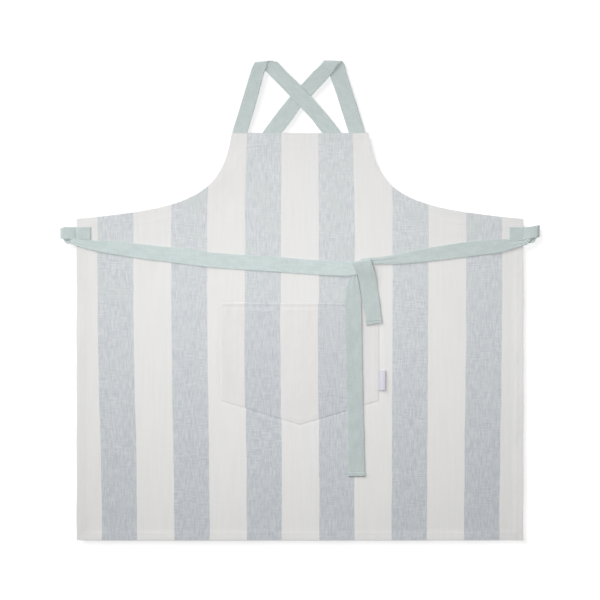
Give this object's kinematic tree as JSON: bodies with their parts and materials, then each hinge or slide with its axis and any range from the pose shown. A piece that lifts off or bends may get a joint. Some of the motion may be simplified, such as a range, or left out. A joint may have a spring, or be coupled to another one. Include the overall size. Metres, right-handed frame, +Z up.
{
  "type": "butcher apron",
  "caption": "Wide striped cross-back apron lying flat, with crossed shoulder straps, side loops, waist ties in a half knot and a pointed front pocket.",
  "frame": {"origin": "middle of the laid-out apron's outline, on the surface it lies on", "axes": "+X to the right of the apron as it lies front side up, +Y from the bottom hem towards the shoulder straps, +Z up, out of the front of the apron"},
  "size_m": [0.935, 0.9349, 0.0109],
  "materials": {
    "striped_linen": "woven linen, white and blue-grey stripes",
    "sage_strap": "plain woven sage-grey linen band",
    "white_label": "satin woven ribbon, blank",
    "pale_thread": "spun sewing thread",
    "sage_thread": "spun sewing thread"
  },
  "bodies": {
    "apron": {"body_panel": "striped_linen", "bib_top_hem": "striped_linen", "left_armhole_facing": "striped_linen", "right_armhole_facing": "striped_linen", "left_side_hem": "striped_linen", "right_side_hem": "striped_linen", "bottom_hem": "striped_linen", "pocket_panel": "striped_linen", "pocket_turned_edge": "striped_linen", "pocket_mouth_hem": "striped_linen", "left_side_loop": "sage_strap", "right_side_loop": "sage_strap", "left_strap_anchor": "sage_strap", "right_strap_anchor": "sage_strap", "left_strap_back_run": "sage_strap", "right_strap_back_run": "sage_strap", "left_waist_tie": "sage_strap", "right_waist_tie": "sage_strap", "waist_knot": "sage_strap", "bib_stitching": "pale_thread", "armhole_stitching": "pale_thread", "hem_stitching": "pale_thread", "pocket_stitching": "pale_thread", "loop_stitching": "sage_thread"},
    "shoulder_straps": {"left_shoulder_strap": "sage_strap", "right_shoulder_strap": "sage_strap"},
    "long_tail": {"long_tie_tail": "sage_strap", "long_tail_end_hem": "sage_strap", "long_tail_stitching": "sage_thread"},
    "short_tail": {"short_tie_tail": "sage_strap", "short_tail_end_hem": "sage_strap", "short_tail_stitching": "sage_thread"},
    "label": {"pocket_label": "white_label"}
  },
  "joints": [
    {"name": "strap_fold", "type": "hinge", "parent": "apron", "child": "shoulder_straps", "pos_m": [0, 0.3251, 0.003], "axis": [1, 0, 0], "range_deg": [0, 165]},
    {"name": "long_tail_lift", "type": "hinge", "parent": "apron", "child": "long_tail", "pos_m": [0.105, 0.0464, 0.0075], "axis": [-1, 0, 0], "range_deg": [0, 150]},
    {"name": "short_tail_lift", "type": "hinge", "parent": "apron", "child": "short_tail", "pos_m": [0.126, 0.0464, 0.0075], "axis": [-1, 0, 0], "range_deg": [0, 150]},
    {"name": "label_fold", "type": "hinge", "parent": "apron", "child": "label", "pos_m": [0.1542, -0.1565, 0.0043], "axis": [0, -1, 0], "range_deg": [0, 150]}
  ]
}
